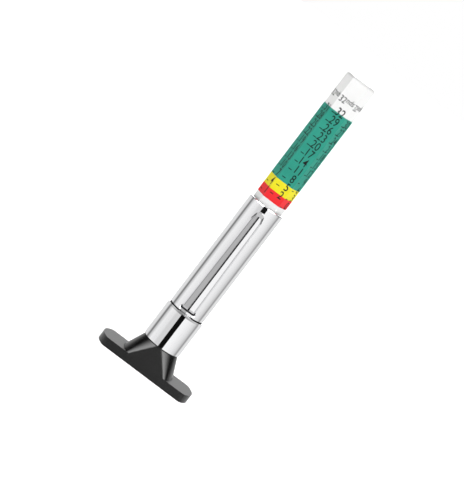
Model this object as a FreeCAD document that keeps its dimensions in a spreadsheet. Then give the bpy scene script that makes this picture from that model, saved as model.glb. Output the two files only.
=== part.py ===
"""Pen-shaped tyre tread depth gauge, in millimetres.

A black moulded foot stands on the tread blocks. Its plug closes the lower end of a chromed sleeve that is
rolled from sheet, so the sleeve has an open seam down its front. Above the plug the two edges of the seam are
pressed inwards as a shallow channel. A black piston slides in the sleeve with its flat front against that
channel, which keeps it from turning and holds it wherever it is pushed. The piston carries a six-sided white
stick with a red, a yellow and a green band and the marks of a scale in 32nds of an inch, three marks apart on
each face. A steel pin, pressed into the stick through the piston, runs down through the foot: pushing the stick
down brings its tip to the floor of the tread groove, and the sleeve's rim then stands at the depth on the scale.

Frame: the origin is the centre of the foot's flat underside, +Z runs up the sleeve, the seam faces -Y and the
foot lies along X. The stick is drawn at the top of its travel, with the piston against the sleeve's rolled-in
lip.
"""

import FreeCAD
import Part
import Sketcher
import math
import os

SHEET = "Sizes"
INCH = 25.4
MARKS_PER_INCH = 32
FACES = 6
MARKS_PER_FACE = 11
MARKS_BETWEEN = 3
SIXTH_TURN = math.pi / 3

DRIVING = {
    # foot
    "foot_length": 26.3,
    "foot_depth": 10.2,
    "foot_height": 2.25,
    "foot_end_radius": 8.0,
    "foot_corner_radius": 1.0,
    "neck_height": 5.35,
    "neck_half_base": 7.25,
    "neck_flat_base": 5.0,
    "neck_flat_top": 0.25,
    "neck_half_top": 4.85,
    "collar_height": 0.3,
    "plug_radius": 4.74,
    "plug_length": 9.3,
    "plug_chamfer": 0.4,
    "bore_radius": 1.05,
    "bore_mouth_radius": 1.45,
    "bore_mouth_depth": 0.4,
    # sleeve
    "sleeve_length": 42.1,
    "sleeve_wall": 0.35,
    "lower_radius": 5.1,
    "lower_length": 9.88,
    "upper_radius": 4.76,
    "flare_height": 0.5,
    "flare": 0.06,
    "crease_depth": 0.12,
    "crease_rise": 0.25,
    "bore_step_drop": 0.45,
    "bore_step_rise": 0.25,
    "rim_round": 0.25,
    "lip_height": 0.2,
    "lip_slope": 0.13,
    "lip_bore": 4.25,
    "slot_width": 1.2,
    "slot_below_step": 0.3,
    "notch_depth": 1.63,
    "seam_gap": 0.4,
    "groove_crown": 4.0,
    "groove_draft": 36.5,
    "groove_floor_low": 3.88,
    "groove_floor_high": 4.22,
    "groove_half_low": 1.72,
    "groove_half_high": 1.08,
    "groove_reach": 2.6,
    "arch_below_rim": 1.95,
    "arch_top_half": 0.65,
    "arch_corner_half": 1.18,
    "arch_corner_drop": 0.35,
    "arch_shoulder_half": 1.65,
    "arch_shoulder_drop": 2.0,
    "arch_deep": 4.0,
    "ramp_height": 1.03,
    "ramp_back": 3.2,
    "flap_end_above_step": 1.6,
    "flap_end_half_width": 1.95,
    "flap_end_floor": 3.85,
    "turn_above_step": 0.75,
    "turn_floor": 3.45,
    "ledge_half_length": 2.1,
    "ledge_radius": 1.2,
    "ledge_end_radius": 0.93,
    "ledge_above_step": 1.1,
    # stick
    "stick_front_width": 4.38,
    "stick_corner_width": 8.2,
    "stick_flats": 7.0,
    "stick_above_rim": 36.76,
    "stick_tip_radius": 0.8,
    "spigot_radius": 2.4,
    "spigot_length": 2.2,
    # piston
    "piston_length": 2.9,
    "piston_play": 0.02,
    "piston_radius": 4.36,
    "piston_flat": 3.4,
    "piston_chamfer": 0.15,
    # pin
    "pin_radius": 1.0,
    "pin_in_stick": 8.0,
    "pin_chamfer": 0.2,
    # scale
    "rest_above_zero": 1.65,
    "red_marks": 3.1,
    "yellow_marks": 3.65,
    "green_marks": 26.05,
    "band_thickness": 0.04,
    "ink_thickness": 0.02,
    "tick_length": 0.9,
    "tick_width": 0.2,
    "tick_offset": 1.07,
}


def derived(size):
    """The levels and half sizes that follow from the driving dimensions."""
    mark = INCH / MARKS_PER_INCH
    out = {}
    out["foot_half_depth"] = size["foot_depth"] / 2
    out["foot_end_centre"] = size["foot_length"] / 2 - size["foot_end_radius"]
    out["neck_depth_base"] = out["foot_half_depth"]
    out["neck_depth_top"] = size["neck_half_top"]
    sixth = math.sin(SIXTH_TURN)
    for end in ("base", "top"):
        depth = out["neck_depth_" + end]
        flat = size["neck_flat_" + end]
        across = size["neck_half_" + end] - flat
        corner = (across - 2 * depth * (1 - sixth)) / (2 * sixth - 1)
        out["neck_corner_" + end] = corner
        out["neck_side_" + end] = 2 * depth - corner
        out["neck_turn_" + end] = flat + corner * sixth
        out["neck_turn_depth_" + end] = depth - corner / 2
    out["collar_level"] = size["foot_height"] + size["neck_height"]
    out["sleeve_bottom"] = out["collar_level"] + size["collar_height"]
    out["plug_top"] = out["sleeve_bottom"] + size["plug_length"]
    out["plug_chamfer_level"] = out["plug_top"] - size["plug_chamfer"]
    out["plug_chamfer_radius"] = size["plug_radius"] - size["plug_chamfer"]
    out["step_level"] = out["sleeve_bottom"] + size["lower_length"]
    out["flare_level"] = out["step_level"] - size["flare_height"]
    out["flare_radius"] = size["lower_radius"] + size["flare"]
    out["crease_radius"] = size["upper_radius"] - size["crease_depth"]
    out["crease_top"] = out["step_level"] + size["crease_rise"]
    out["bore_step_level"] = out["step_level"] - size["bore_step_drop"]
    out["bore_step_top"] = out["bore_step_level"] + size["bore_step_rise"]
    out["rim_level"] = out["sleeve_bottom"] + size["sleeve_length"]
    out["lip_level"] = out["rim_level"] - size["lip_height"]
    out["lip_slope_level"] = out["lip_level"] - size["lip_slope"]
    out["rim_round_level"] = out["rim_level"] - size["rim_round"]
    out["rim_round_radius"] = size["upper_radius"] - size["rim_round"]
    share = 1 - math.sqrt(0.5)
    out["rim_mid_level"] = out["rim_level"] - size["rim_round"] * share
    out["rim_mid_radius"] = size["upper_radius"] - size["rim_round"] * share
    out["lower_bore"] = size["lower_radius"] - size["sleeve_wall"]
    out["upper_bore"] = size["upper_radius"] - size["sleeve_wall"]
    out["arch_level"] = out["rim_level"] - size["arch_below_rim"]
    out["rib_arch_level"] = out["arch_level"] + size["sleeve_wall"]
    out["rib_arch_half"] = size["arch_corner_half"] + size["sleeve_wall"]
    out["rib_shoulder_half"] = size["arch_shoulder_half"] + size["sleeve_wall"]
    out["shoulder_level"] = out["arch_level"] - size["arch_shoulder_drop"]
    out["groove_front"] = size["lower_radius"] + 2.0
    crown = math.tan(math.radians(size["groove_crown"]))
    draft = math.radians(size["groove_draft"])
    for face, level in (("deep", size["arch_deep"]), ("front", out["groove_front"])):
        grow = (level - size["upper_radius"]) * math.tan(draft)
        out["arch_top_" + face] = out["arch_level"] + grow
        out["arch_corner_level_" + face] = out["arch_level"] - size["arch_corner_drop"] + grow
        out["arch_shoulder_level_" + face] = out["shoulder_level"] + grow
        for place in ("top", "corner", "shoulder"):
            out[f"arch_{place}_half_{face}"] = size[f"arch_{place}_half"] + grow
        out["arch_reach_" + face] = size["groove_reach"] + grow
    rib_shift = size["sleeve_wall"] * math.tan(math.pi / 4 - draft / 2)
    for end in ("low", "high"):
        floor = size["groove_floor_" + end]
        half = size["groove_half_" + end]
        edge = floor - half * crown
        mouth = half + (out["groove_front"] - edge) * math.tan(draft)
        out["groove_edge_" + end] = edge
        out["groove_mouth_" + end] = mouth
        out["rib_floor_" + end] = floor - size["sleeve_wall"]
        out["rib_half_" + end] = half + rib_shift
        out["rib_edge_" + end] = edge - size["sleeve_wall"]
        out["rib_mouth_" + end] = mouth + size["sleeve_wall"] / math.cos(draft)
    out["notch_level"] = out["rim_level"] - size["notch_depth"]
    out["slot_top"] = out["step_level"] - size["slot_below_step"]
    out["seam_top"] = out["arch_level"] - size["ramp_height"]
    lean = (size["upper_radius"] - size["groove_floor_high"]) / size["ramp_height"]
    out["ramp_low"] = out["arch_level"] - (size["upper_radius"] - size["ramp_back"]) / lean
    shift = size["sleeve_wall"] * math.sqrt(1 + lean**2)
    out["rib_ramp_front"] = size["upper_radius"] - shift
    out["rib_ramp_back"] = size["ramp_back"] - shift
    out["flap_end_level"] = out["step_level"] + size["flap_end_above_step"]
    out["turn_level"] = out["step_level"] + size["turn_above_step"]
    out["rib_flap_top"] = out["flap_end_level"] + size["sleeve_wall"]
    out["rib_flap_floor"] = size["flap_end_floor"] - size["sleeve_wall"]
    out["rib_flap_half_width"] = size["flap_end_half_width"] + size["sleeve_wall"]
    out["rib_turn_level"] = out["turn_level"] - size["sleeve_wall"]
    out["rib_turn_floor"] = size["turn_floor"] - size["sleeve_wall"]
    out["ledge_level"] = out["step_level"] + size["ledge_above_step"]
    bulge = size["ledge_radius"] - size["ledge_end_radius"]
    out["ledge_arc_radius"] = (size["ledge_half_length"] ** 2 + bulge**2) / (2 * bulge)
    out["ledge_arc_sink"] = out["ledge_arc_radius"] - size["ledge_radius"]
    out["rib_ledge_half_length"] = size["ledge_half_length"] + size["sleeve_wall"]
    out["rib_ledge_arc_radius"] = out["ledge_arc_radius"] + size["sleeve_wall"]
    rib_reach = math.sqrt(out["rib_ledge_arc_radius"] ** 2 - out["rib_ledge_half_length"] ** 2)
    out["rib_ledge_end_radius"] = rib_reach - out["ledge_arc_sink"]
    out["half_slot"] = size["slot_width"] / 2
    out["half_seam"] = size["seam_gap"] / 2
    out["stick_half_front"] = size["stick_front_width"] / 2
    out["stick_half_width"] = size["stick_corner_width"] / 2
    out["stick_half_flats"] = size["stick_flats"] / 2
    out["stick_top"] = out["rim_level"] + size["stick_above_rim"]
    out["travel"] = size["rest_above_zero"] + INCH
    out["piston_top"] = out["lip_level"] - size["piston_play"]
    out["piston_bottom"] = out["piston_top"] - size["piston_length"]
    out["piston_chamfer_radius"] = size["piston_radius"] - size["piston_chamfer"]
    out["piston_chamfer_top"] = out["piston_top"] - size["piston_chamfer"]
    out["piston_chamfer_bottom"] = out["piston_bottom"] + size["piston_chamfer"]
    out["stick_length"] = out["stick_top"] - out["piston_top"]
    out["spigot_bottom"] = out["piston_top"] - size["spigot_length"]
    out["pin_tip"] = size["rest_above_zero"]
    out["pin_top"] = out["spigot_bottom"] + size["pin_in_stick"]
    out["pin_tip_chamfer_level"] = out["pin_tip"] + size["pin_chamfer"]
    out["pin_top_chamfer_level"] = out["pin_top"] - size["pin_chamfer"]
    out["pin_chamfer_radius"] = size["pin_radius"] - size["pin_chamfer"]
    out["zero_level"] = out["rim_level"] + size["rest_above_zero"]
    for band in ("red", "yellow", "green"):
        out[band + "_height"] = size[band + "_marks"] * mark
    out["yellow_level"] = out["zero_level"] + out["red_height"]
    out["green_level"] = out["yellow_level"] + out["yellow_height"]
    return out


SIZE = dict(DRIVING)
SIZE.update(derived(DRIVING))

doc = FreeCAD.newDocument("tread_gauge")
sheet = doc.addObject("Spreadsheet::Sheet", SHEET)
for row, name in enumerate(SIZE, start=1):
    sheet.set(f"A{row}", name)
    sheet.set(f"B{row}", f"{SIZE[name]:.6f}")
    sheet.setAlias(f"B{row}", name)
doc.recompute()


def cell(name):
    return f"{SHEET}.{name}"


def bind(thing, **properties):
    """Binds each property to an expression, given as a cell's name or as an expression on cells."""
    for prop, text in properties.items():
        thing.setExpression(prop, cell(text) if text in SIZE else text)


def value(term):
    """The number that a term stands for: a cell's name, a cell's name after a minus, or '0'."""
    if term == "0":
        return 0.0
    return -SIZE[term[1:]] if term.startswith("-") else SIZE[term]


def pin_down(sketch, geometry, point, term, way):
    """Dimensions one coordinate of a sketch point from the origin, bound to the term's cell."""
    origin = (-1, 1)
    here = (geometry, point)
    if term == "0":
        axis = -2 if way == "DistanceX" else -1
        sketch.addConstraint(Sketcher.Constraint("PointOnObject", geometry, point, axis))
        return
    first, second = (here, origin) if term.startswith("-") else (origin, here)
    index = sketch.addConstraint(Sketcher.Constraint(way, *first, *second, abs(value(term))))
    sketch.setExpression(f"Constraints[{index}]", cell(term.lstrip("-")))


def polygon(sketch, points):
    """A closed outline through points, each a pair of terms, with every corner dimensioned."""
    corners = [FreeCAD.Vector(value(u), value(v), 0) for u, v in points]
    count = len(corners)
    for i in range(count):
        sketch.addGeometry(Part.LineSegment(corners[i], corners[(i + 1) % count]))
    for i in range(count):
        sketch.addConstraint(Sketcher.Constraint("Coincident", i, 2, (i + 1) % count, 1))
    for i, (u, v) in enumerate(points):
        pin_down(sketch, i, 1, u, "DistanceX")
        pin_down(sketch, i, 1, v, "DistanceY")


def new_body(name):
    body = doc.addObject("PartDesign::Body", name)
    body.Label = name
    return body


def plane_of(body, role):
    return next(feature for feature in body.Origin.OriginFeatures if feature.Role == role)


def body_sketch(body, name, role, level=None):
    """A sketch on one of the body's own origin planes, raised by a cell if one is given."""
    sketch = body.newObject("Sketcher::SketchObject", name)
    sketch.AttachmentSupport = (plane_of(body, role), [""])
    sketch.MapMode = "FlatFace"
    if level:
        bind(sketch, **{".AttachmentOffset.Base.z": level})
    return sketch


def pad(body, sketch, length):
    feature = body.newObject("PartDesign::Pad", sketch.Name + "_pad")
    feature.Profile = sketch
    bind(feature, Length=length)
    doc.recompute()
    return feature


def pocket_up(body, sketch, depth=None):
    """Cuts the sketch upwards out of the body, by a cell or right through."""
    before = body.Shape.Volume
    feature = body.newObject("PartDesign::Pocket", sketch.Name + "_pocket")
    feature.Profile = sketch
    feature.Reversed = True
    if depth:
        bind(feature, Length=depth)
    else:
        feature.Type = "ThroughAll"
    doc.recompute()
    if body.Shape.Volume >= before - 1e-6:
        raise RuntimeError(f"{feature.Name} cut nothing")
    return feature


def revolve(body, sketch):
    feature = body.newObject("PartDesign::Revolution", sketch.Name + "_turned")
    feature.Profile = sketch
    feature.ReferenceAxis = (sketch, ["V_Axis"])
    feature.Angle = 360
    doc.recompute()
    return feature


def dress(body, kind, name, prop, size, wanted):
    """Fillets or chamfers the edges of the body's tip that wanted() picks."""
    base = body.Tip
    edges = [f"Edge{i}" for i, edge in enumerate(base.Shape.Edges, start=1) if wanted(edge)]
    if not edges:
        raise RuntimeError(f"{name} found no edge")
    feature = body.newObject(f"PartDesign::{kind}", name)
    feature.Base = (base, edges)
    bind(feature, **{prop: size})
    doc.recompute()
    return feature


def circle_sketch(body, name, role, radius, level=None):
    sketch = body_sketch(body, name, role, level)
    sketch.addGeometry(Part.Circle(FreeCAD.Vector(0, 0, 0), FreeCAD.Vector(0, 0, 1), SIZE[radius]))
    sketch.addConstraint(Sketcher.Constraint("Coincident", 0, 3, -1, 1))
    index = sketch.addConstraint(Sketcher.Constraint("Radius", 0, SIZE[radius]))
    sketch.setExpression(f"Constraints[{index}]", cell(radius))
    return sketch


# ---------------------------------------------------------------- foot


def bar_outline(sketch):
    """The bar in plan: two straight sides and two shallow end arcs."""
    half = SIZE["foot_half_depth"]
    radius = SIZE["foot_end_radius"]
    centre = SIZE["foot_end_centre"]
    reach = math.sqrt(radius**2 - half**2)
    turn = math.asin(half / radius)
    up = FreeCAD.Vector(0, 0, 1)
    sketch.addGeometry(
        Part.LineSegment(FreeCAD.Vector(-centre - reach, -half, 0), FreeCAD.Vector(centre + reach, -half, 0))
    )
    right = Part.Circle(FreeCAD.Vector(centre, 0, 0), up, radius)
    sketch.addGeometry(Part.ArcOfCircle(right, -turn, turn))
    sketch.addGeometry(
        Part.LineSegment(FreeCAD.Vector(centre + reach, half, 0), FreeCAD.Vector(-centre - reach, half, 0))
    )
    left = Part.Circle(FreeCAD.Vector(-centre, 0, 0), up, radius)
    sketch.addGeometry(Part.ArcOfCircle(left, math.pi - turn, math.pi + turn))
    for i in range(4):
        sketch.addConstraint(Sketcher.Constraint("Coincident", i, 2, (i + 1) % 4, 1))
    sketch.addConstraint(Sketcher.Constraint("Horizontal", 0))
    sketch.addConstraint(Sketcher.Constraint("Horizontal", 2))
    pin_down(sketch, 0, 1, "-foot_half_depth", "DistanceY")
    pin_down(sketch, 2, 1, "foot_half_depth", "DistanceY")
    for arc, side in ((1, "foot_end_centre"), (3, "-foot_end_centre")):
        pin_down(sketch, arc, 3, side, "DistanceX")
        pin_down(sketch, arc, 3, "0", "DistanceY")
        index = sketch.addConstraint(Sketcher.Constraint("Radius", arc, radius))
        sketch.setExpression(f"Constraints[{index}]", cell("foot_end_radius"))


def upright(edge):
    """True for a straight edge that runs along Z."""
    box = edge.BoundBox
    return box.XLength < 1e-6 and box.YLength < 1e-6


def level_edge(level):
    """A test for edges that lie flat at the level."""

    def test(edge):
        box = edge.BoundBox
        return abs(box.ZMin - level) < 1e-6 and abs(box.ZMax - level) < 1e-6

    return test


def neck_section(body, name, end, level):
    """The neck in plan at its base or top: flat at front and back, its sides rounded with two radii."""
    sketch = body_sketch(body, name, "XY_Plane", level)
    flat = "neck_flat_" + end
    depth = "neck_depth_" + end
    turn = "neck_turn_" + end
    turn_depth = "neck_turn_depth_" + end
    corner = SIZE["neck_corner_" + end]
    side = SIZE["neck_side_" + end]
    lift = SIZE[depth] - corner
    shift = SIZE["neck_half_" + end] - side
    points = [
        ("-" + flat, "-" + depth),
        (flat, "-" + depth),
        (turn, "-" + turn_depth),
        (turn, turn_depth),
        (flat, depth),
        ("-" + flat, depth),
        ("-" + turn, turn_depth),
        ("-" + turn, "-" + turn_depth),
    ]
    places = [FreeCAD.Vector(value(u), value(v), 0) for u, v in points]

    def arc(u, v, radius, start):
        circle = Part.Circle(FreeCAD.Vector(u, v, 0), FreeCAD.Vector(0, 0, 1), radius)
        sketch.addGeometry(Part.ArcOfCircle(circle, start, start + SIXTH_TURN))

    sketch.addGeometry(Part.LineSegment(places[0], places[1]))
    arc(SIZE[flat], -lift, corner, -math.pi / 2)
    arc(shift, 0, side, -math.pi / 6)
    arc(SIZE[flat], lift, corner, math.pi / 6)
    sketch.addGeometry(Part.LineSegment(places[4], places[5]))
    arc(-SIZE[flat], lift, corner, math.pi / 2)
    arc(-shift, 0, side, math.pi * 5 / 6)
    arc(-SIZE[flat], -lift, corner, math.pi * 7 / 6)
    count = len(points)
    for i in range(count):
        sketch.addConstraint(Sketcher.Constraint("Coincident", i, 2, (i + 1) % count, 1))
    for i, (u, v) in enumerate(points):
        pin_down(sketch, i, 1, u, "DistanceX")
        pin_down(sketch, i, 1, v, "DistanceY")
    for kind, arcs in (("neck_corner_", (1, 3, 5, 7)), ("neck_side_", (2, 6))):
        for i in arcs:
            index = sketch.addConstraint(Sketcher.Constraint("Radius", i, SIZE[kind + end]))
            sketch.setExpression(f"Constraints[{index}]", cell(kind + end))
    return sketch


def make_foot():
    foot = new_body("foot")
    plan = body_sketch(foot, "bar_plan", "XY_Plane")
    bar_outline(plan)
    pad(foot, plan, "foot_height")
    dress(foot, "Fillet", "bar_corners", "Radius", "foot_corner_radius", upright)

    # The neck runs from an oval as deep as the bar to a circle under the sleeve.
    neck = foot.newObject("PartDesign::AdditiveLoft", "neck")
    neck.Profile = neck_section(foot, "neck_base_plan", "base", "foot_height")
    neck.Sections = [neck_section(foot, "neck_top_plan", "top", "collar_level")]
    neck.Ruled = True
    doc.recompute()

    plug = body_sketch(foot, "plug_profile", "XZ_Plane")
    polygon(
        plug,
        [
            ("0", "bore_mouth_depth"),
            ("plug_radius", "bore_mouth_depth"),
            ("plug_radius", "plug_chamfer_level"),
            ("plug_chamfer_radius", "plug_top"),
            ("0", "plug_top"),
        ],
    )
    revolve(foot, plug)

    pocket_up(foot, circle_sketch(foot, "pin_bore", "XY_Plane", "bore_radius"))
    pocket_up(foot, circle_sketch(foot, "bore_mouth", "XY_Plane", "bore_mouth_radius"), "bore_mouth_depth")
    return foot


# ---------------------------------------------------------------- sleeve


UPRIGHT = FreeCAD.Rotation(FreeCAD.Vector(1, 0, 0), 90)
SIDEWAYS = FreeCAD.Rotation(FreeCAD.Vector(1, 1, 1), 120)


def free_sketch(name, turn=None, level=None):
    """A sketch outside any body: flat at a level, or with its own Y along Z and its X along X or Y."""
    sketch = doc.addObject("Sketcher::SketchObject", name)
    if turn:
        sketch.Placement = FreeCAD.Placement(FreeCAD.Vector(), turn)
    if level:
        bind(sketch, **{".Placement.Base.z": level})
    return sketch


def turned_solid(name, points):
    profile = free_sketch(name + "_profile", UPRIGHT)
    polygon(profile, points)
    solid = doc.addObject("Part::Revolution", name)
    solid.Source = profile
    solid.Axis = FreeCAD.Vector(0, 0, 1)
    solid.Angle = 360
    solid.Solid = True
    return solid


def channel(kind):
    """The space in the channel: a slightly crowned floor and slanted sides, wider and deeper low down."""
    sections = []
    for end, level in (("low", "sleeve_bottom"), ("high", "rim_level")):
        section = free_sketch(f"{kind}_{end}", level=level)
        half = f"{kind}_half_{end}"
        edge = f"-{kind}_edge_{end}"
        mouth = f"{kind}_mouth_{end}"
        polygon(
            section,
            [
                ("0", f"-{kind}_floor_{end}"),
                (half, edge),
                (mouth, "-groove_front"),
                ("-" + mouth, "-groove_front"),
                ("-" + half, edge),
            ],
        )
        sections.append(section)
    loft = doc.addObject("Part::Loft", kind + "_channel")
    loft.Sections = sections
    loft.Solid = True
    loft.Ruled = True
    return loft


def front_block(name, points):
    """An upright outline pushed forwards from the axis, through the sleeve's front."""
    outline = free_sketch(name + "_outline", UPRIGHT)
    polygon(outline, points)
    block = doc.addObject("Part::Extrusion", name)
    block.Base = outline
    block.DirMode = "Custom"
    block.Dir = FreeCAD.Vector(0, -1, 0)
    block.Solid = True
    bind(block, LengthFwd="groove_front")
    return block


def side_block(name, points, half_width):
    """An outline seen from the side, with Y to the right, stretched to both sides along X."""
    outline = free_sketch(name + "_outline", SIDEWAYS)
    polygon(outline, points)
    block = doc.addObject("Part::Extrusion", name)
    block.Base = outline
    block.DirMode = "Custom"
    block.Dir = FreeCAD.Vector(1, 0, 0)
    block.Solid = True
    block.Symmetric = True
    bind(block, LengthFwd=f"2 * {cell(half_width)}")
    return block


def ramp(name, front, back):
    """The space in front of a steep plane that leads from the arch's top down to the groove's floor."""
    return side_block(
        name,
        [
            ("-groove_front", "sleeve_bottom"),
            ("-" + back, "sleeve_bottom"),
            ("-" + back, "ramp_low"),
            ("-" + front, "arch_level"),
            ("-groove_front", "arch_level"),
        ],
        "groove_front",
    )


def groove_arch():
    """The channel's outline from the front, with slanted sides: wide low down, narrowing to a rounded top."""
    sections = []
    for face in ("deep", "front"):
        section = free_sketch("arch_" + face, UPRIGHT)
        bind(section, **{".Placement.Base.y": f"-{cell('arch_deep' if face == 'deep' else 'groove_front')}"})
        right = [
            (f"arch_reach_{face}", "sleeve_bottom"),
            (f"arch_reach_{face}", "crease_top"),
            (f"arch_shoulder_half_{face}", f"arch_shoulder_level_{face}"),
            (f"arch_corner_half_{face}", f"arch_corner_level_{face}"),
            (f"arch_top_half_{face}", f"arch_top_{face}"),
        ]
        left = [("-" + half, level) for half, level in reversed(right)]
        polygon(section, right + left)
        sections.append(section)
    loft = doc.addObject("Part::Loft", "arch_loft")
    loft.Sections = sections
    loft.Solid = True
    loft.Ruled = True
    # The loft's deep end runs on inwards, so that only the channel's own floor ends the groove.
    core = front_block(
        "arch_core",
        [
            ("-arch_reach_deep", "sleeve_bottom"),
            ("arch_reach_deep", "sleeve_bottom"),
            ("arch_reach_deep", "crease_top"),
            ("arch_shoulder_half_deep", "arch_shoulder_level_deep"),
            ("-arch_shoulder_half_deep", "arch_shoulder_level_deep"),
            ("-arch_reach_deep", "crease_top"),
        ],
    )
    return joined("groove_arch", [loft, core])


def rib_arch():
    return front_block(
        "rib_arch",
        [
            ("-groove_reach", "sleeve_bottom"),
            ("groove_reach", "sleeve_bottom"),
            ("groove_reach", "crease_top"),
            ("rib_shoulder_half", "shoulder_level"),
            ("rib_arch_half", "rib_arch_level"),
            ("-rib_arch_half", "rib_arch_level"),
            ("-rib_shoulder_half", "shoulder_level"),
            ("-groove_reach", "crease_top"),
        ],
    )


def both(name, first, second):
    shared = doc.addObject("Part::Common", name)
    shared.Base = first
    shared.Tool = second
    return shared


def cut(name, base, tool):
    result = doc.addObject("Part::Cut", name)
    result.Base = base
    result.Tool = tool
    return result


def joined(name, shapes):
    result = doc.addObject("Part::MultiFuse", name)
    result.Shapes = shapes
    return result


def ledge(name, half_length, end_radius, arc_radius):
    """A barrel lying along X in front of the step: its underside leaves an upward-facing ledge in the sleeve."""
    profile = free_sketch(name + "_profile", UPRIGHT, "ledge_level")
    bind(profile, **{".Placement.Base.y": f"-{cell('lower_radius')}"})
    half = SIZE[half_length]
    end = SIZE[end_radius]
    radius = SIZE[arc_radius]
    turn = math.asin(half / radius)
    corners = [FreeCAD.Vector(u, v, 0) for u, v in ((-half, end), (-half, 0), (half, 0), (half, end))]
    for first, second in zip(corners, corners[1:]):
        profile.addGeometry(Part.LineSegment(first, second))
    circle = Part.Circle(FreeCAD.Vector(0, -SIZE["ledge_arc_sink"], 0), FreeCAD.Vector(0, 0, 1), radius)
    profile.addGeometry(Part.ArcOfCircle(circle, math.pi / 2 - turn, math.pi / 2 + turn))
    for i in range(4):
        profile.addConstraint(Sketcher.Constraint("Coincident", i, 2, (i + 1) % 4, 1))
    pin_down(profile, 1, 1, "-" + half_length, "DistanceX")
    pin_down(profile, 1, 1, "0", "DistanceY")
    pin_down(profile, 1, 2, half_length, "DistanceX")
    pin_down(profile, 1, 2, "0", "DistanceY")
    pin_down(profile, 0, 1, "-" + half_length, "DistanceX")
    pin_down(profile, 0, 1, end_radius, "DistanceY")
    pin_down(profile, 2, 2, half_length, "DistanceX")
    pin_down(profile, 2, 2, end_radius, "DistanceY")
    index = profile.addConstraint(Sketcher.Constraint("Radius", 3, radius))
    profile.setExpression(f"Constraints[{index}]", cell(arc_radius))
    barrel = doc.addObject("Part::Revolution", name)
    barrel.Source = profile
    barrel.Axis = FreeCAD.Vector(1, 0, 0)
    bind(barrel, **{".Base.y": f"-{cell('lower_radius')}", ".Base.z": "ledge_level"})
    barrel.Angle = 360
    barrel.Solid = True
    return barrel


def gap_block(name, half, bottom, top):
    """An upright gap of even width in the sleeve's front."""
    return front_block(name, [("-" + half, bottom), (half, bottom), (half, top), ("-" + half, top)])


def make_sleeve():
    outside = turned_solid(
        "sleeve_outside",
        [
            ("0", "sleeve_bottom"),
            ("lower_radius", "sleeve_bottom"),
            ("lower_radius", "flare_level"),
            ("flare_radius", "step_level"),
            ("crease_radius", "step_level"),
            ("upper_radius", "crease_top"),
            ("upper_radius", "rim_round_level"),
            ("rim_mid_radius", "rim_mid_level"),
            ("rim_round_radius", "rim_level"),
            ("0", "rim_level"),
        ],
    )
    inside = turned_solid(
        "sleeve_inside",
        [
            ("0", "sleeve_bottom"),
            ("lower_bore", "sleeve_bottom"),
            ("lower_bore", "bore_step_level"),
            ("upper_bore", "bore_step_top"),
            ("upper_bore", "lip_slope_level"),
            ("lip_bore", "lip_level"),
            ("lip_bore", "rim_level"),
            ("0", "rim_level"),
        ],
    )
    above_step = front_block(
        "above_step",
        [
            ("-groove_front", "step_level"),
            ("groove_front", "step_level"),
            ("groove_front", "rim_level"),
            ("-groove_front", "rim_level"),
        ],
    )
    groove = both(
        "groove",
        both("groove_space", channel("groove"), above_step),
        both(
            "groove_limits",
            groove_arch(),
            ramp("groove_ramp", "upper_radius", "ramp_back"),
        ),
    )
    rib = both(
        "rib",
        both("rib_space", channel("rib"), above_step),
        both(
            "rib_limits",
            rib_arch(),
            ramp("rib_ramp", "rib_ramp_front", "rib_ramp_back"),
        ),
    )

    # Just above the step the channel's two flaps turn in, over a ledge that leads back out to the lower tube.
    turn = side_block(
        "turn",
        [
            ("-groove_front", "turn_level"),
            ("-turn_floor", "turn_level"),
            ("-flap_end_floor", "flap_end_level"),
            ("-groove_front", "flap_end_level"),
        ],
        "flap_end_half_width",
    )
    rib_turn = side_block(
        "rib_turn",
        [
            ("-groove_front", "rib_turn_level"),
            ("-rib_turn_floor", "rib_turn_level"),
            ("-rib_turn_floor", "turn_level"),
            ("-rib_flap_floor", "flap_end_level"),
            ("-rib_flap_floor", "rib_flap_top"),
            ("-groove_front", "rib_flap_top"),
        ],
        "rib_flap_half_width",
    )
    dish = ledge("dish", "ledge_half_length", "ledge_end_radius", "ledge_arc_radius")
    rib_dish = ledge("rib_dish", "rib_ledge_half_length", "rib_ledge_end_radius", "rib_ledge_arc_radius")
    wall = cut(
        "sleeve_wall_solid",
        cut("grooved_outside", outside, joined("pressed_in", [groove, turn, dish])),
        cut("ribbed_inside", inside, joined("ribs", [rib, rib_turn, rib_dish])),
    )
    gaps = joined(
        "sleeve_gaps",
        [
            gap_block("seam", "half_seam", "turn_level", "seam_top"),
            gap_block("slot_low", "half_slot", "sleeve_bottom", "slot_top"),
            gap_block("slot_high", "half_slot", "notch_level", "rim_level"),
        ],
    )
    sleeve = cut("sleeve", wall, gaps)
    sleeve.Label = "sleeve"
    return sleeve


# ---------------------------------------------------------------- stick and its print


def stick_outline(sketch):
    """The six-sided section: wide faces at front and back, corners at the sides."""
    polygon(
        sketch,
        [
            ("stick_half_front", "-stick_half_flats"),
            ("stick_half_width", "0"),
            ("stick_half_front", "stick_half_flats"),
            ("-stick_half_front", "stick_half_flats"),
            ("-stick_half_width", "0"),
            ("-stick_half_front", "-stick_half_flats"),
        ],
    )


def make_stick():
    stick = new_body("scale_stick")
    section = body_sketch(stick, "stick_section", "XY_Plane", "piston_top")
    stick_outline(section)
    pad(stick, section, "stick_length")
    dress(stick, "Fillet", "stick_tip", "Radius", "stick_tip_radius", level_edge(SIZE["stick_top"]))
    spigot = circle_sketch(stick, "stick_spigot", "XY_Plane", "spigot_radius", "spigot_bottom")
    pad(stick, spigot, "spigot_length")
    socket = circle_sketch(stick, "pin_socket", "XY_Plane", "pin_radius", "spigot_bottom")
    pocket_up(stick, socket, "pin_in_stick")
    return stick


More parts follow.
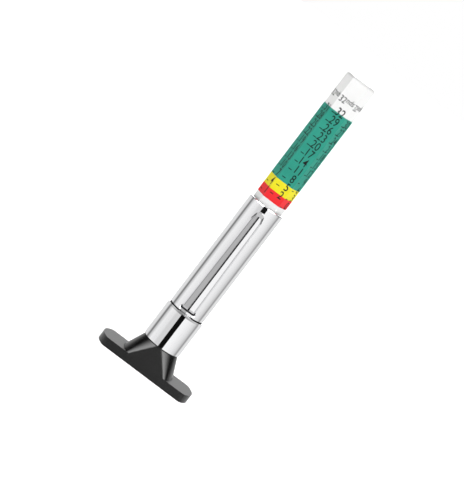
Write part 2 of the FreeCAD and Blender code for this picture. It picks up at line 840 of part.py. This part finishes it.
def make_piston():
    piston = new_body("guide_piston")
    profile = body_sketch(piston, "piston_profile", "XZ_Plane")
    polygon(
        profile,
        [
            ("0", "piston_bottom"),
            ("piston_chamfer_radius", "piston_bottom"),
            ("piston_radius", "piston_chamfer_bottom"),
            ("piston_radius", "piston_chamfer_top"),
            ("piston_chamfer_radius", "piston_top"),
            ("0", "piston_top"),
        ],
    )
    revolve(piston, profile)
    flat = body_sketch(piston, "piston_front", "XY_Plane")
    polygon(
        flat,
        [
            ("-foot_length", "-piston_flat"),
            ("foot_length", "-piston_flat"),
            ("foot_length", "-foot_length"),
            ("-foot_length", "-foot_length"),
        ],
    )
    pocket_up(piston, flat)
    pocket_up(piston, circle_sketch(piston, "piston_bore", "XY_Plane", "pin_radius"))
    socket = circle_sketch(piston, "spigot_socket", "XY_Plane", "spigot_radius", "spigot_bottom")
    pocket_up(piston, socket, "spigot_length")
    return piston


def make_pin():
    pin = new_body("probe_pin")
    profile = body_sketch(pin, "pin_profile", "XZ_Plane")
    polygon(
        profile,
        [
            ("0", "pin_tip"),
            ("pin_chamfer_radius", "pin_tip"),
            ("pin_radius", "pin_tip_chamfer_level"),
            ("pin_radius", "pin_top_chamfer_level"),
            ("pin_chamfer_radius", "pin_top"),
            ("0", "pin_top"),
        ],
    )
    revolve(pin, profile)
    return pin


def stick_corners():
    """The corners of the stick's section in order, from the front's right end."""
    front = SIZE["stick_half_front"]
    side = SIZE["stick_half_width"]
    deep = SIZE["stick_half_flats"]
    return [
        FreeCAD.Vector(x, y, 0)
        for x, y in ((front, -deep), (side, 0), (front, deep), (-front, deep), (-side, 0), (-front, -deep))
    ]


def make_band(name, level, height):
    """A printed band: a skin of even thickness round the stick."""
    corners = stick_corners()
    around = Part.makePolygon(corners + corners[:1])
    outer = Part.Face(around.makeOffset2D(SIZE["band_thickness"], 2))
    skin = outer.cut(Part.Face(around)).extrude(FreeCAD.Vector(0, 0, SIZE[height]))
    band = doc.addObject("Part::Feature", name)
    band.Label = name
    band.Shape = skin
    bind(band, **{".Placement.Base.z": level})
    return band


def face_frame(face):
    """The middle of a stick face and the way it runs, seen from outside with the tip up, and its outward way."""
    corners = stick_corners()
    right = corners[face]
    left = corners[face - 1]
    along = (right - left).normalize()
    outward = FreeCAD.Vector(along.y, -along.x, 0)
    return (left + right) / 2, along, outward


def first_mark(face):
    """The lowest mark on a face: 2 on the front, and one more on each face further round to the right."""
    return (2 + face) % MARKS_BETWEEN


def make_ticks():
    """The short marks of the scale, on every face, from each face's first mark up in steps of three."""
    mark = INCH / MARKS_PER_INCH
    base = SIZE["band_thickness"]
    ticks = []
    for face in range(FACES):
        middle, along, outward = face_frame(face)
        for step in range(MARKS_PER_FACE):
            number = first_mark(face) + MARKS_BETWEEN * step
            box = Part.makeBox(SIZE["tick_length"], SIZE["ink_thickness"], SIZE["tick_width"])
            box.translate(FreeCAD.Vector(-SIZE["tick_length"] / 2, -SIZE["ink_thickness"], 0))
            turn = math.degrees(math.atan2(along.y, along.x))
            box.rotate(FreeCAD.Vector(), FreeCAD.Vector(0, 0, 1), turn)
            place = middle + outward * base - along * SIZE["tick_offset"]
            box.translate(place + FreeCAD.Vector(0, 0, number * mark))
            ticks.append(box)
    group = doc.addObject("Part::Feature", "scale_ticks")
    group.Label = "scale_ticks"
    group.Shape = Part.makeCompound(ticks)
    bind(group, **{".Placement.Base.z": "zero_level"})
    return group


# ---------------------------------------------------------------- build and write


def check_document():
    doc.recompute()
    failed = [thing.Name for thing in doc.Objects if "Invalid" in thing.State or "Error" in thing.State]
    if failed:
        raise RuntimeError(f"these objects failed: {failed}")


def write(parts):
    os.makedirs("parts", exist_ok=True)
    for part in parts:
        shape = part.Shape
        if shape.isNull() or not shape.isValid() or shape.Volume <= 0:
            raise RuntimeError(f"{part.Label} has no valid shape")
        shape.exportStep(os.path.join("parts", part.Label + ".step"))
        box = shape.BoundBox
        print(
            f"{part.Label}: {len(shape.Solids)} solids, {shape.Volume:.2f} mm3, "
            f"z {box.ZMin:.2f} to {box.ZMax:.2f}, {box.XLength:.2f} x {box.YLength:.2f}"
        )


PARTS = [
    make_foot(),
    make_sleeve(),
    make_piston(),
    make_stick(),
    make_pin(),
    make_band("red_band", "zero_level", "red_height"),
    make_band("yellow_band", "yellow_level", "yellow_height"),
    make_band("green_band", "green_level", "green_height"),
    make_ticks(),
]
check_document()
write(PARTS)
print(f"travel {SIZE['travel']:.3f} mm")
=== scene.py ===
"""The looks of the tread depth gauge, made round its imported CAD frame.

Materials and soft edges for the CAD nodes, the printed numerals, the studio and the camera.
"""

import math

import bpy
from mathutils import Matrix, Vector


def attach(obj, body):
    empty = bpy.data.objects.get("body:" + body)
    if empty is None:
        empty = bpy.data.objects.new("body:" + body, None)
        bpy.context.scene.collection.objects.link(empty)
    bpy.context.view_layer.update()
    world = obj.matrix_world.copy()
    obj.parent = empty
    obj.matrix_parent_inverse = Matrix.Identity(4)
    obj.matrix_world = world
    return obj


MM = 0.001

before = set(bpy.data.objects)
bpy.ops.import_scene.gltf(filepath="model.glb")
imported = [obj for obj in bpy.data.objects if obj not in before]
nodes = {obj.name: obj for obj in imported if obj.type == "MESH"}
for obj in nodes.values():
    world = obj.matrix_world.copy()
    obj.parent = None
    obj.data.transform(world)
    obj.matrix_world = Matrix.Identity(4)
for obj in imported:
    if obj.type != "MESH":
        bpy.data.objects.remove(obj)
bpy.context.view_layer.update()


def show(name, data):
    """An object of that name in the scene, with that data."""
    thing = bpy.data.objects.new(name, data)
    bpy.context.scene.collection.objects.link(thing)
    return thing


# ---------------------------------------------------------------- camera

CAMERA_AZIMUTH = math.radians(-1.5)
CAMERA_DISTANCE = 449 * MM
CAMERA_HEIGHT = 107 * MM
CAMERA_LENS = 143.6
CAMERA_LEAN = math.radians(37.3)
CAMERA_NEAREST = 10 * MM
SENSOR = 36
AIM_HEIGHT = 42.5 * MM
# How far the aim lies from the picture's middle, as shares of the picture's height.
AIM_RIGHT = 0.0346
AIM_UP = 0.0197


def add_camera():
    """A camera in front of the gauge and a little above it, leaned so that the gauge lies aslant."""
    place = Vector(
        (
            CAMERA_DISTANCE * math.sin(CAMERA_AZIMUTH),
            -CAMERA_DISTANCE * math.cos(CAMERA_AZIMUTH),
            CAMERA_HEIGHT,
        )
    )
    aim = Vector((0, 0, AIM_HEIGHT))
    away = (aim - place).normalized()
    level = away.cross(Vector((0, 0, 1))).normalized()
    upright = level.cross(away)
    right = level * math.cos(CAMERA_LEAN) + upright * math.sin(CAMERA_LEAN)
    up = upright * math.cos(CAMERA_LEAN) - level * math.sin(CAMERA_LEAN)
    picture_height = (aim - place).length * SENSOR / CAMERA_LENS
    centre = aim - right * AIM_RIGHT * picture_height - up * AIM_UP * picture_height
    away = (centre - place).normalized()
    right = (right - away * right.dot(away)).normalized()
    up = right.cross(away)
    data = bpy.data.cameras.new("camera")
    data.lens = CAMERA_LENS
    data.sensor_width = SENSOR
    data.clip_start = CAMERA_NEAREST
    camera = show("camera", data)
    camera.matrix_world = Matrix.Translation(place) @ Matrix((right, up, -away)).transposed().to_4x4()
    bpy.context.scene.camera = camera


add_camera()

# ---------------------------------------------------------------- materials


class Nodes:
    """A node tree, with short ways to add and join nodes."""

    def __init__(self, tree):
        self.tree = tree

    def add(self, kind, **inputs):
        node = self.tree.nodes.new("ShaderNode" + kind)
        for name, value in inputs.items():
            self.feed(node.inputs[name.replace("_", " ")], value)
        return node

    def feed(self, socket, value):
        if isinstance(value, bpy.types.NodeSocket):
            self.tree.links.new(value, socket)
        else:
            socket.default_value = value

    def feed_all(self, node, *values):
        """Feeds the node's first inputs in their order."""
        for socket, value in zip(node.inputs, values):
            self.feed(socket, value)

    def math(self, operation, *values):
        node = self.add("Math")
        node.operation = operation
        self.feed_all(node, *values)
        return node.outputs[0]

    def spread(self, value, low, high, start=0.3, end=0.7):
        """Spreads a value from start..end over low..high."""
        node = self.add("MapRange", Value=value)
        for name, number in (("From Min", start), ("From Max", end), ("To Min", low), ("To Max", high)):
            self.feed(node.inputs[name], number)
        return node.outputs[0]


class Material(Nodes):
    """A material's nodes, round its Principled shader."""

    def __init__(self, name, colour, roughness, metallic=0.0):
        self.material = bpy.data.materials.new(name)
        self.material.use_nodes = True
        super().__init__(self.material.node_tree)
        self.shader = self.tree.nodes["Principled BSDF"]
        self.shade(Base_Color=(*colour, 1), Roughness=roughness, Metallic=metallic)

    def shade(self, **values):
        """Feeds inputs of the shader."""
        for name, value in values.items():
            self.feed(self.shader.inputs[name.replace("_", " ")], value)

    def place(self, scale=(1, 1, 1)):
        """The point on the object, stretched by scale along its axes."""
        point = self.add("TexCoord").outputs["Object"]
        return self.add("Mapping", Vector=point, Scale=scale).outputs[0]

    def noise(self, scale, stretch=(1, 1, 1), detail=3.0):
        return self.add("TexNoise", Vector=self.place(stretch), Scale=scale, Detail=detail).outputs["Fac"]

    def mix(self, share, first, second):
        node = self.add("Mix")
        node.data_type = "RGBA"
        for place, value in ((0, share), (6, first), (7, second)):
            self.feed(node.inputs[place], value)
        return node.outputs[2]

    def bump(self, height, strength, distance):
        self.shade(Normal=self.add("Bump", Height=height, Strength=strength, Distance=distance).outputs[0])


def grey(level):
    return (level, level, level)


# The tube's inside is painted dark, as painted shade for the enclosed bore: radii over which the plating
# gives way to it.
INSIDE_SHADE_RADII = (3.2 * MM, 3.5 * MM)
INSIDE_SHADE_COLOUR = (*grey(0.08), 1)
# Painted shade in the creases: how far the air about a point is looked at, and the openness from shaded to
# unshaded.
CREASE_REACH = 0.5 * MM
CREASE_OPENNESS = (0.6, 0.93)
CREASE_SHADE_COLOUR = (*grey(0.02), 1)


def chrome():
    """Bright plating with faint lines along the tube, painted shade on the inside and painted shade in the
    creases.
    """
    m = Material("chrome", (0.86, 0.86, 0.87), 0.06, 1.0)
    lines = m.noise(900, (1, 1, 0.02), 4)
    clouds = m.noise(160, (1, 1, 0.5), 3)
    m.shade(Roughness=m.spread(lines, 0.04, 0.11))
    m.bump(lines, 0.05, 0.02 * MM)
    apart = m.add("SeparateXYZ", Vector=m.place())
    squares = [m.math("POWER", apart.outputs[axis], 2) for axis in (0, 1)]
    radius = m.math("SQRT", m.math("ADD", *squares))
    plating = m.mix(m.spread(clouds, 0.0, 1.0), (0.84, 0.84, 0.85, 1), (0.88, 0.88, 0.89, 1))
    # Painted shade: the plating is darkened in creases, where ambient occlusion finds little open air.
    openness = m.add("AmbientOcclusion", Distance=CREASE_REACH).outputs["AO"]
    unshaded = m.spread(openness, 0.12, 1.0, *CREASE_OPENNESS)
    outside = m.mix(unshaded, CREASE_SHADE_COLOUR, plating)
    # Painted shade: the tube's inside is darkened towards a dark grey.
    inside = m.spread(radius, 1.0, 0.0, *INSIDE_SHADE_RADII)
    m.shade(Base_Color=m.mix(inside, outside, INSIDE_SHADE_COLOUR))
    return m.material


def steel():
    m = Material("steel", (0.55, 0.55, 0.56), 0.25, 1.0)
    rings = m.noise(500, (0.05, 0.05, 4), 3)
    m.shade(Roughness=m.spread(rings, 0.18, 0.34))
    m.shade(Base_Color=m.mix(m.spread(rings, 0, 1), (0.48, 0.48, 0.5, 1), (0.62, 0.62, 0.63, 1)))
    m.bump(rings, 0.1, 0.01 * MM)
    return m.material


def plastic(name, dark, light, roughness, grain, gloss):
    """A moulded or printed surface: two close shades in slow clouds, and a fine grain."""
    m = Material(name, light, roughness)
    clouds = m.noise(220, detail=4)
    fine = m.noise(grain, detail=2)
    m.shade(
        Base_Color=m.mix(m.spread(clouds, 0.0, 1.0), (*dark, 1), (*light, 1)),
        Roughness=m.spread(fine, roughness * 0.85, roughness * 1.15),
        Specular_IOR_Level=gloss,
    )
    m.bump(fine, 0.15, 0.01 * MM)
    return m


FOOT_GLOSS = 0.4
FOOT_ROUGHNESS = 0.2
FLAT_TOP_ROUGHNESS = 0.6
# How far the surface turns up, by its normal's Z, from the foot's sides to the bar's flat top.
FLAT_TOP_TURN = (0.8, 0.98)
# The heights over which the plug loses its gloss.
PLUG_START = (7.7 * MM, 7.95 * MM)


def black_plastic():
    """The foot's gloss black, duller on the bar's flat top, and unlit on the plug in the sleeve's slot."""
    m = plastic("black_plastic", grey(0.004), grey(0.006), FOOT_ROUGHNESS, 2500, FOOT_GLOSS)
    height = m.add("SeparateXYZ", Vector=m.place()).outputs[2]
    m.shade(Specular_IOR_Level=m.spread(height, FOOT_GLOSS, 0.0, *PLUG_START))
    turned_up = m.add("SeparateXYZ", Vector=m.add("NewGeometry").outputs["Normal"]).outputs[2]
    m.shade(Roughness=m.spread(turned_up, FOOT_ROUGHNESS, FLAT_TOP_ROUGHNESS, *FLAT_TOP_TURN))
    return m.material


# By node: the material's name, its two shades, roughness, grain and gloss.
PLASTICS = {
    "guide_piston": ("piston_plastic", grey(0.002), grey(0.004), 0.6, 3000, 0.1),
    "scale_stick": ("white_plastic", (0.69, 0.69, 0.685), (0.725, 0.725, 0.72), 0.35, 2500, 0.4),
    "red_band": ("red_print", (0.66, 0.016, 0.02), (0.71, 0.02, 0.026), 0.45, 4000, 0.2),
    "yellow_band": ("yellow_print", (0.65, 0.58, 0.01), (0.69, 0.62, 0.014), 0.45, 4000, 0.2),
    "green_band": ("green_print", (0.016, 0.225, 0.164), (0.0215, 0.257, 0.188), 0.45, 4000, 0.2),
    "scale_ticks": ("ink", (0.003, 0.006, 0.006), (0.006, 0.01, 0.01), 0.5, 5000, 0.15),
}
MATERIALS = {"sleeve": chrome(), "foot": black_plastic(), "probe_pin": steel()}
for name, recipe in PLASTICS.items():
    MATERIALS[name] = plastic(*recipe).material


def clothe(piece, name):
    piece.data.materials.clear()
    piece.data.materials.append(MATERIALS[name])


BEVELS = {"sleeve": 0.05, "foot": 0.18, "guide_piston": 0.08, "scale_stick": 0.22, "probe_pin": 0.05}
BEVEL_SEGMENTS = 3
BEVEL_ANGLE = math.radians(28)
CRISP_ANGLE = math.radians(18)


def crisp_shading():
    """A node group that shades smoothly only across edges flatter than CRISP_ANGLE."""
    tree = bpy.data.node_groups.new("crisp", "GeometryNodeTree")
    for way in ("INPUT", "OUTPUT"):
        tree.interface.new_socket("Geometry", in_out=way, socket_type="NodeSocketGeometry")
    angle = tree.nodes.new("GeometryNodeInputMeshEdgeAngle")
    sharp = tree.nodes.new("FunctionNodeCompare")
    sharp.data_type = "FLOAT"
    sharp.operation = "GREATER_THAN"
    sharp.inputs[1].default_value = CRISP_ANGLE
    normals = tree.nodes.new("GeometryNodeSetMeshNormal")
    normals.mode = "SHARPNESS"
    normals.inputs["Remove Custom"].default_value = True
    tree.links.new(angle.outputs["Unsigned Angle"], sharp.inputs[0])
    tree.links.new(sharp.outputs[0], normals.inputs["Edge Sharpness"])
    tree.links.new(tree.nodes.new("NodeGroupInput").outputs[0], normals.inputs[0])
    tree.links.new(normals.outputs[0], tree.nodes.new("NodeGroupOutput").inputs[0])
    return tree


for name, piece in nodes.items():
    clothe(piece, name)
    if name in BEVELS:
        bevel = piece.modifiers.new("soft_edges", "BEVEL")
        bevel.width = BEVELS[name] * MM
        bevel.segments = BEVEL_SEGMENTS
        bevel.limit_method = "ANGLE"
        bevel.angle_limit = BEVEL_ANGLE
        bevel.harden_normals = name != "sleeve"
nodes["sleeve"].modifiers.new("crisp", "NODES").node_group = crisp_shading()

# ---------------------------------------------------------------- printed numerals

INCH = 25.4 * MM
MARK = INCH / 32
FACES = 6
MARKS_PER_FACE = 11
MARKS_BETWEEN = 3
FRONT_NUMBER = 2
ZERO_LEVEL = 51.65 * MM
BAND_THICKNESS = 0.04 * MM
INK_THICKNESS = 0.02 * MM

STICK_HALF_FRONT = 2.19 * MM
STICK_HALF_WIDTH = 4.1 * MM
STICK_HALF_FLATS = 3.5 * MM
# The stick's corners, seen from above and in turn from the right end of the front face.
STICK_CORNERS = (
    (STICK_HALF_FRONT, -STICK_HALF_FLATS),
    (STICK_HALF_WIDTH, 0),
    (STICK_HALF_FRONT, STICK_HALF_FLATS),
    (-STICK_HALF_FRONT, STICK_HALF_FLATS),
    (-STICK_HALF_WIDTH, 0),
    (-STICK_HALF_FRONT, -STICK_HALF_FLATS),
)

DIGIT_HEIGHT = 1.92 * MM
DIGIT_WIDTH_SHARE = 0.78
DIGIT_WEIGHT = 0.014 * MM
DIGIT_RIGHT = 1.5 * MM
DIGIT_DROP = 0.05 * MM
# The heading's parts: text, height, share of the font's width, slant, left edge and level.
HEADING = (
    ("32", 1.5 * MM, 0.78, 0.0, -1.88 * MM, 28.5 * MM),
    ("nds", 1.25 * MM, 0.8, 0.2, -0.16 * MM, 29.05 * MM),
)
HEADING_WEIGHT = 0.008 * MM
# The height of the default font's capitals, as a share of its size, and the fineness of its curves.
CAP_SHARE = 0.657
FONT_STEPS = 4


def face_frame(face):
    """The matrix that lays a flat drawing on a face of the stick, its origin on the face's middle at zero."""
    right = Vector((*STICK_CORNERS[face], 0))
    left = Vector((*STICK_CORNERS[face - 1], 0))
    along = (right - left).normalized()
    outward = Vector((along.y, -along.x, 0))
    turn = Matrix((along, Vector((0, 0, 1)), outward)).transposed().to_4x4()
    return Matrix.Translation((left + right) / 2 + Vector((0, 0, ZERO_LEVEL))) @ turn


def letters(text, height, width_share, weight, slant=0.0):
    """The solid letters of a text in the default font, as points and faces."""
    data = bpy.data.curves.new("letters", "FONT")
    data.body = text
    data.size = height / CAP_SHARE
    data.offset = weight
    data.shear = slant
    data.extrude = INK_THICKNESS / 2
    data.resolution_u = FONT_STEPS
    holder = bpy.data.objects.new("letters", data)
    mesh = bpy.data.meshes.new_from_object(holder)
    points = [Vector((v.co.x * width_share, v.co.y, v.co.z + INK_THICKNESS / 2)) for v in mesh.vertices]
    faces = [tuple(p.vertices) for p in mesh.polygons]
    bpy.data.objects.remove(holder)
    bpy.data.curves.remove(data)
    bpy.data.meshes.remove(mesh)
    return points, faces


class Print:
    """Gathers the letters on a face of the stick into one mesh."""

    def __init__(self, face):
        self.frame = face_frame(face)
        self.points = []
        self.faces = []

    def put(self, solid, shift, level, depth):
        points, faces = solid
        first = len(self.points)
        move = self.frame @ Matrix.Translation((shift, level, depth))
        self.points += [move @ p for p in points]
        self.faces += [tuple(first + i for i in face) for face in faces]


for face in range(FACES):
    sheet = Print(face)
    for step in range(MARKS_PER_FACE):
        number = (FRONT_NUMBER + face) % MARKS_BETWEEN + MARKS_BETWEEN * step
        solid = letters(str(number), DIGIT_HEIGHT, DIGIT_WIDTH_SHARE, DIGIT_WEIGHT)
        reach = max(p.x for p in solid[0])
        sheet.put(solid, DIGIT_RIGHT - reach, number * MARK - DIGIT_DROP, BAND_THICKNESS)
    for text, height, width_share, slant, left, level in HEADING:
        solid = letters(text, height, width_share, HEADING_WEIGHT, slant)
        reach = min(p.x for p in solid[0])
        sheet.put(solid, left - reach, level, 0)
    mesh = bpy.data.meshes.new(f"numerals_{face}")
    mesh.from_pydata(sheet.points, [], sheet.faces)
    piece = show(f"numerals_{face}", mesh)
    clothe(piece, "scale_ticks")
    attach(piece, "slider")

# ---------------------------------------------------------------- studio

FLOOR_HALF = 3.0
FLOOR_GLOW = 0.8


def make_floor():
    mesh = bpy.data.meshes.new("floor")
    corners = [(FLOOR_HALF * x, FLOOR_HALF * y, 0) for x, y in ((-1, -1), (1, -1), (1, 1), (-1, 1))]
    mesh.from_pydata(corners, [], [(0, 1, 2, 3)])
    floor = show("floor", mesh)
    m = Material("floor", grey(0.9), 0.9)
    m.shade(Emission_Color=(1, 1, 1, 1), Emission_Strength=FLOOR_GLOW)
    mesh.materials.append(m.material)
    floor.visible_glossy = False


# Brightness all round the studio, by the angle from the front (-Y) towards the right (+X), in degrees.
STUDIO = (
    (-180, 0.85),
    (-116, 0.8),
    (-109, 0.28),
    (-99, 0.24),
    (-93, 0.62),
    (-76, 1.0),
    (-48, 0.92),
    (-36, 0.76),
    (-16, 0.76),
    (-13, 0.5),
    (-4, 0.52),
    (1, 0.5),
    (5, 1.08),
    (35, 1.06),
    (62, 0.96),
    (80, 0.82),
    (95, 0.66),
    (102, 0.4),
    (111, 0.4),
    (117, 0.85),
    (180, 0.9),
)
BRIGHTEST = 1.1
# The same by the sine of the angle above the horizon: bright at the horizon, a light floor and ceiling.
RISE = (
    (-1, 0.8),
    (-0.87, 0.8),
    (-0.76, 0.1),
    (-0.47, 0.1),
    (-0.34, 1.0),
    (0.12, 1.0),
    (0.2, 0.12),
    (0.77, 0.1),
    (0.88, 0.95),
)
# Lamps that show only as reflections, a large one at either side of the front and one behind: their
# brightness by the angle from the front, the same on both sides, and by the sine of the angle up.
LAMPS_ONE_SIDE = (
    (9, 0.03),
    (14, 0.8),
    (21, 1),
    (42, 0.78),
    (60, 0.42),
    (74, 0.17),
    (90, 0),
    (155, 0),
    (180, 0.6),
)
LAMPS = tuple((-angle, level) for angle, level in reversed(LAMPS_ONE_SIDE)) + LAMPS_ONE_SIDE
LAMP_RISE = ((-1, 0), (0.02, 0), (0.1, 1), (0.6, 1), (0.7, 0.1))
LAMP_BRIGHTNESS = 9.0
HALF_TURN = 180


def make_world():
    """Surroundings that light the gauge and are mirrored in it, and that look plain white themselves."""
    world = bpy.data.worlds.new("studio")
    bpy.context.scene.world = world
    world.use_nodes = True
    m = Nodes(world.node_tree)
    apart = m.add("SeparateXYZ", Vector=m.add("TexCoord").outputs["Generated"])
    angle = m.math("ARCTAN2", apart.outputs[0], m.math("MULTIPLY", apart.outputs[1], -1))
    share = m.spread(angle, 0, 1, -math.pi, math.pi)
    lift = m.spread(apart.outputs[2], 0, 1, -1, 1)

    def ramp(value, stops, reach):
        """The brightness at a value from 0 to 1, from stops that run from -reach to reach."""
        node = m.add("ValToRGB")
        m.feed(node.inputs[0], value)
        elements = node.color_ramp.elements
        for i, (place, brightness) in enumerate(stops):
            position = place / (2 * reach) + 0.5
            stop = elements[i] if i < 2 else elements.new(position)
            stop.position = position
            stop.color = (*grey(brightness / BRIGHTEST), 1)
        return node.outputs[0]

    def light(rounds, rises, strength):
        product = m.add("VectorMath")
        product.operation = "MULTIPLY"
        m.feed_all(product, ramp(share, rounds, HALF_TURN), ramp(lift, rises, 1))
        return m.add("Background", Color=product.outputs[0], Strength=strength).outputs[0]

    path = m.add("LightPath")
    studio = light(STUDIO, RISE, BRIGHTEST**2)
    mirrored = m.math("MULTIPLY", path.outputs["Is Glossy Ray"], LAMP_BRIGHTNESS * BRIGHTEST**2)
    lamps = light(LAMPS, LAMP_RISE, mirrored)
    lit = m.add("AddShader")
    m.feed_all(lit, studio, lamps)
    seen = m.add("Background", Color=(1, 1, 1, 1)).outputs[0]
    surface = m.add("MixShader")
    m.feed_all(surface, path.outputs["Is Camera Ray"], lit.outputs[0], seen)
    m.feed(world.node_tree.nodes["World Output"].inputs["Surface"], surface.outputs[0])


# The lights: name, degrees to the right of the front, degrees up, distance, width, height and brightness.
SOFTBOXES = (
    ("side", 62, 25, 0.6, 0.2, 0.22, 11.0),
    ("key", 12, 30, 0.7, 0.3, 0.3, 3.0),
    ("fill", -60, 20, 0.7, 0.3, 0.3, 3.9),
)


def softbox(name, azimuth, elevation, distance, width, height, brightness):
    """A soft rectangular light aimed at the gauge, that isn't mirrored in it."""
    turn = math.radians(azimuth)
    rise = math.radians(elevation)
    way = Vector((math.sin(turn) * math.cos(rise), -math.cos(turn) * math.cos(rise), math.sin(rise)))
    data = bpy.data.lights.new(name, "AREA")
    data.shape = "RECTANGLE"
    data.size = width
    data.size_y = height
    data.energy = brightness * math.pi * width * height
    light = show(name, data)
    light.location = Vector((0, 0, AIM_HEIGHT)) + way * distance
    light.rotation_euler = way.to_track_quat("Z", "Y").to_euler()
    light.visible_camera = False
    light.visible_glossy = False


make_floor()
make_world()
for box in SOFTBOXES:
    softbox(*box)
bpy.context.scene.view_settings.view_transform = "Standard"
